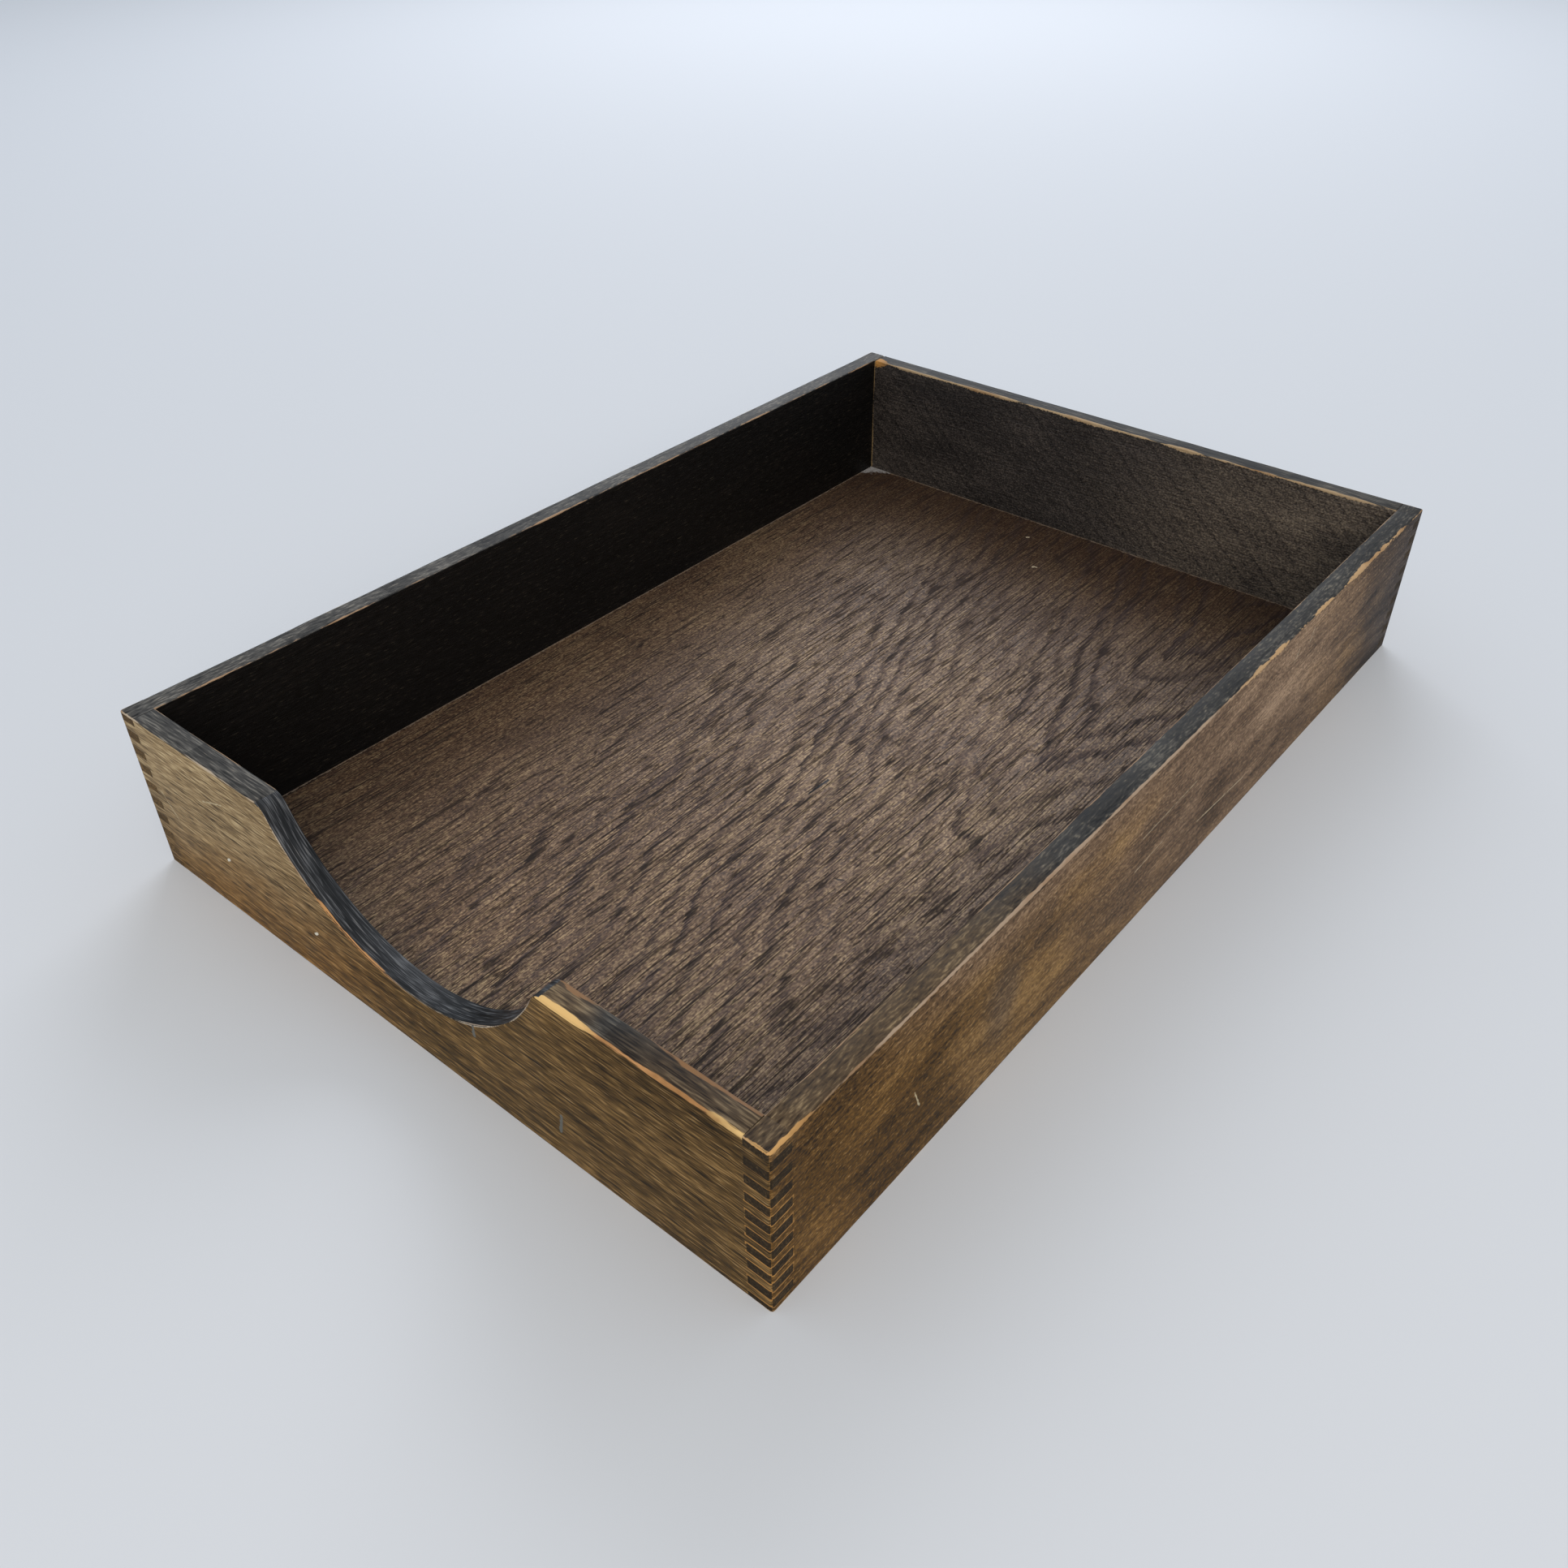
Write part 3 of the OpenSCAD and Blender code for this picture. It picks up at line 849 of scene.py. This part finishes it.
def open_pores(tree, colour, mm, fibres, late):
    """
    Thin dark lines where a long drawn-out noise crosses its middle value. They are broken by the fibres and
    run together where the late wood is. They are drawn 0.1 to 0.4 mm wide, wider than most real ones, so
    that they show. Gives back the colour and how deep the surface is.
    """
    deep = late
    for across, long in PORES:
        stretch = (1 / across, 1 / long, across)
        place = add(tree, "ShaderNodeVectorMath", {0: mm, 1: stretch}, operation="MULTIPLY")
        field = add(tree, "ShaderNodeTexNoise", {"Vector": place, "Scale": 1, "Detail": 0})
        off = add(tree, "ShaderNodeMath", {0: field, 1: 0.5}, operation="SUBTRACT")
        off = add(tree, "ShaderNodeMath", {0: off}, operation="ABSOLUTE")
        broken = add(tree, "ShaderNodeMath", {0: fibres, 1: 0.14, 2: -0.042}, operation="MULTIPLY_ADD")
        broken = add(tree, "ShaderNodeMath", {0: late, 1: 0.035, 2: broken}, operation="MULTIPLY_ADD")
        line = add(tree, "ShaderNodeMath", {0: broken, 1: off}, operation="SUBTRACT")
        line = add(tree, "ShaderNodeMapRange", {"Value": line, "From Max": 0.02, "To Max": 0.75})
        laid = {"Factor": line, "A": colour, "B": linear(PORE)}
        colour = add(tree, "ShaderNodeMix", laid, data_type="RGBA")
        deep = add(tree, "ShaderNodeMath", {0: deep, 1: line}, operation="MAXIMUM")
    return colour, deep


# %% [markdown]
# The floor is painted darker near the back board and beside the walls: painted shade, for the shadow that
# the walls cast on it. Dust has settled in a small heap in the far left corner and in a thin pale line
# beside the walls, and a few small knocks and specks lie about.

# %% Oak veneer: painted shade, dust and marks
# painted shade: the colour the floor is darkened to near the back board and beside the walls
PAINTED_WALL_SHADE = "#2a1a13"
DUST_LINE = "#8d7b6a"
DUST = "#aaa6a4"
HEAP = (13, 9)  # how far the dust heap reaches from the left wall and from the back wall, in mm
floor_marks = [
    ((16.5, -37, FLOOR), (17, -27, FLOOR), 0.9, "#0c0908"),
    ((50.5, -65, FLOOR), (52.5, -64, FLOOR), 0.6, "#15100d"),
    ((-7.6, 145, FLOOR), (-6.4, 145.6, FLOOR), 1.2, "#b9a88c"),
    ((-24, 166, FLOOR), (-23.2, 166.8, FLOOR), 1.0, "#b9a88c"),
]


def paint_wall_shade(tree, colour, x, y):
    """Paints shade on a colour near the back board and beside the walls, for the shadow they cast on the
    floor.
    """
    by_back = add(tree, "ShaderNodeMapRange", {"Value": y, "From Min": 40, "From Max": 170, "To Max": 0.78})
    by_left = add(tree, "ShaderNodeMapRange", {"Value": x, "From Min": -20, "From Max": -118, "To Max": 0.5})
    by_right = add(tree, "ShaderNodeMapRange", {"Value": x, "From Min": 70, "From Max": 120, "To Max": 0.35})
    by_side = add(tree, "ShaderNodeMath", {0: by_left, 1: by_right}, operation="MAXIMUM")
    dark = add(tree, "ShaderNodeMath", {0: by_back, 1: by_side}, operation="MAXIMUM")
    return add(tree, "ShaderNodeMix", {"Factor": dark, "A": colour, "B": linear(PAINTED_WALL_SHADE)}, data_type="RGBA")


def dusty(tree, colour, mm, x, y, z):
    """Lays a pale line beside the walls and a heap in the far left corner, on the top face only."""
    crumbs = add(tree, "ShaderNodeTexNoise", {"Vector": mm, "Scale": 1 / CRUMB, "Detail": 2})
    ax = add(tree, "ShaderNodeMath", {0: x}, operation="ABSOLUTE")
    side_gap = add(tree, "ShaderNodeMath", {0: IN_X, 1: ax}, operation="SUBTRACT")
    end_gap = add(tree, "ShaderNodeMath", {0: IN_Y, 1: y}, operation="SUBTRACT")
    gap = add(tree, "ShaderNodeMath", {0: side_gap, 1: end_gap}, operation="MINIMUM")
    widths = {"Value": crumbs, "From Min": 0.35, "From Max": 0.65, "To Min": 0.2, "To Max": 0.9}
    width = add(tree, "ShaderNodeMapRange", widths)
    line = add(tree, "ShaderNodeMath", {0: width, 1: gap}, operation="SUBTRACT")
    line = add(tree, "ShaderNodeMapRange", {"Value": line, "From Max": 0.15, "To Max": 0.65})
    laid = {"Factor": line, "A": colour, "B": linear(DUST_LINE)}
    colour = add(tree, "ShaderNodeMix", laid, data_type="RGBA")
    from_left = add(tree, "ShaderNodeMath", {0: x, 1: IN_X}, operation="ADD")
    heap = add(tree, "ShaderNodeMath", {0: from_left, 1: 1 / HEAP[0], 2: crumbs}, operation="MULTIPLY_ADD")
    heap = add(tree, "ShaderNodeMath", {0: end_gap, 1: 1 / HEAP[1], 2: heap}, operation="MULTIPLY_ADD")
    dust = add(tree, "ShaderNodeMapRange", {"Value": heap, "From Min": 1.5, "From Max": 1.2, "To Max": 0.9})
    on_top = add(tree, "ShaderNodeMath", {0: z, 1: FLOOR - 1}, operation="GREATER_THAN")
    dust = add(tree, "ShaderNodeMath", {0: dust, 1: on_top}, operation="MULTIPLY")
    return add(tree, "ShaderNodeMix", {"Factor": dust, "A": colour, "B": linear(DUST)}, data_type="RGBA")


# %% Oak veneer: the whole finish
def stained_oak(name):
    """The floor's face: stained grain, late wood and pores, then painted shade, dust and marks laid over it.
    """
    material, tree = empty_material(name)
    mm = place_in_mm(tree)
    x, y, z = add(tree, "ShaderNodeSeparateXYZ", {0: mm}).outputs
    specks, fibres, clouds = oak_noises(tree, mm)
    late = oak_flames(tree, x, y)
    parts = ((specks, 2.2), (fibres, 1.0), (clouds, 0.8))
    tone = 0.5 - sum(weight for _, weight in parts) / 2  # a noise averages 0.5, so this centres the tone
    for part, weight in parts:
        tone = add(tree, "ShaderNodeMath", {0: part, 1: weight, 2: tone}, operation="MULTIPLY_ADD")
    dim = add(tree, "ShaderNodeMath", {0: late, 1: 0.7}, operation="MULTIPLY")
    woods = {"Factor": dim, "A": graded(tree, tone, VENEER), "B": linear(LATE_WOOD)}
    colour = add(tree, "ShaderNodeMix", woods, data_type="RGBA")
    colour, deep = open_pores(tree, colour, mm, fibres, late)
    colour = paint_wall_shade(tree, colour, x, y)
    colour = dusty(tree, colour, mm, x, y, z)
    colour = scratched(tree, colour, floor_marks, mm)

    relief = add(tree, "ShaderNodeBump", {"Height": deep, "Distance": -0.1 * MM})
    relief = add(tree, "ShaderNodeBump", {"Height": specks, "Distance": 0.08 * MM, "Normal": relief})
    roughness = add(tree, "ShaderNodeMapRange", {"Value": deep, "To Min": 0.46, "To Max": 0.9})
    look = {"Base Color": colour, "Roughness": roughness, "Normal": relief, "Specular IOR Level": 0.25}
    add(tree, "ShaderNodeOutputMaterial", {"Surface": add(tree, "ShaderNodeBsdfPrincipled", look)})
    return material


floor_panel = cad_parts["floor_panel"]
floor_panel.data.materials.clear()
floor_panel.data.materials.append(stained_oak("stained oak veneer"))
print("floor panel wears", floor_panel.data.materials[0].name)

# %% [markdown]
# ## Riding on the imported model
# Nothing on the tray moves, so every board rides on the one body, and each worn board hides the packed
# board it stands for.

for node, board in boards.items():
    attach(board, "root")
    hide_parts(node)
print("worn boards:", len(boards))

# %% [markdown]
# ## Stage, light and camera
# The tray stands on a plain pale floor, matt as paper, which shows its shadow and gives back no shine. A
# cool lamp as wide as a window stands behind it on the left, a larger and warmer one lights it from the
# room in front on the right, and a pale even sky keeps the shadows soft.

# %% Stage and sky
bpy.ops.object.select_all(action="DESELECT")
bpy.ops.mesh.primitive_plane_add(size=6, location=(0, 0, 0))
stage = bpy.context.object
stage.name = "pale_floor"
bpy.ops.object.transform_apply(location=True, rotation=True, scale=True)
pale = bpy.data.materials.new("matt pale paper")
pale.use_nodes = True
paper = pale.node_tree.nodes["Principled BSDF"].inputs
paper["Base Color"].default_value = linear("#d8dadd")
paper["Roughness"].default_value = 0.9
stage.data.materials.append(pale)

world = bpy.data.worlds.new("soft room")
bpy.context.scene.world = world
world.use_nodes = True
sky = world.node_tree.nodes["Background"].inputs
sky["Color"].default_value = linear("#dfe8f2")
sky["Strength"].default_value = 0.7
print("stage:", stage.name, "| sky:", world.name)


# %% Lamps
def lamp(name, place, aim, size, power, colour):
    """A square soft lamp that looks from its place at a point. Sizes are in metres and power in watts."""
    light = bpy.data.lights.new(name, "AREA")
    light.size = size
    light.energy = power
    light.color = linear(colour)[:3]
    holder = bpy.data.objects.new(name, light)
    holder.location = place
    holder.rotation_euler = (Vector(aim) - Vector(place)).to_track_quat("-Z", "Y").to_euler()
    bpy.context.scene.collection.objects.link(holder)
    print("lamp:", name, power, "W")


lamp("window", (-1.0, 1.4, 1.15), (0, 0, 0), 1.2, 15, "#f2f6ff")
lamp("room", (1.2, -1.3, 1.35), (0, 0, 0.02), 1.5, 24, "#fff4e6")

# %% [markdown]
# The camera stands beyond the tray's right-hand front corner and looks down at 38 degrees, tilted by half a
# degree, with a slightly wide lens. Three directions at right angles make its matrix: right, above, and
# the opposite of ahead, because a camera looks along its own minus z.

# %% Camera
CAMERA_MM = Vector((246.4, -323.8, 295.4))
AZIMUTH, DOWN, ROLL = math.radians(40.0), math.radians(37.76), math.radians(-0.51)
LENS = 31.83  # focal length in mm
SENSOR = 36  # width in mm
ahead = Vector((-math.sin(AZIMUTH) * math.cos(DOWN), math.cos(AZIMUTH) * math.cos(DOWN), -math.sin(DOWN)))
level = Vector((math.cos(AZIMUTH), math.sin(AZIMUTH), 0))
upright = level.cross(ahead)
right = math.cos(ROLL) * level + math.sin(ROLL) * upright
above = math.cos(ROLL) * upright - math.sin(ROLL) * level
camera_data = bpy.data.cameras.new("camera")
camera_data.sensor_width = SENSOR
camera_data.lens = LENS
camera = bpy.data.objects.new("camera", camera_data)
turned = Matrix((right, above, -ahead)).transposed().to_4x4()
camera.matrix_world = Matrix.Translation(CAMERA_MM * MM) @ turned
bpy.context.scene.collection.objects.link(camera)
bpy.context.scene.camera = camera
bpy.context.scene.view_settings.view_transform = "Standard"
print("camera stands", round(CAMERA_MM.length), "mm from the tray's origin")
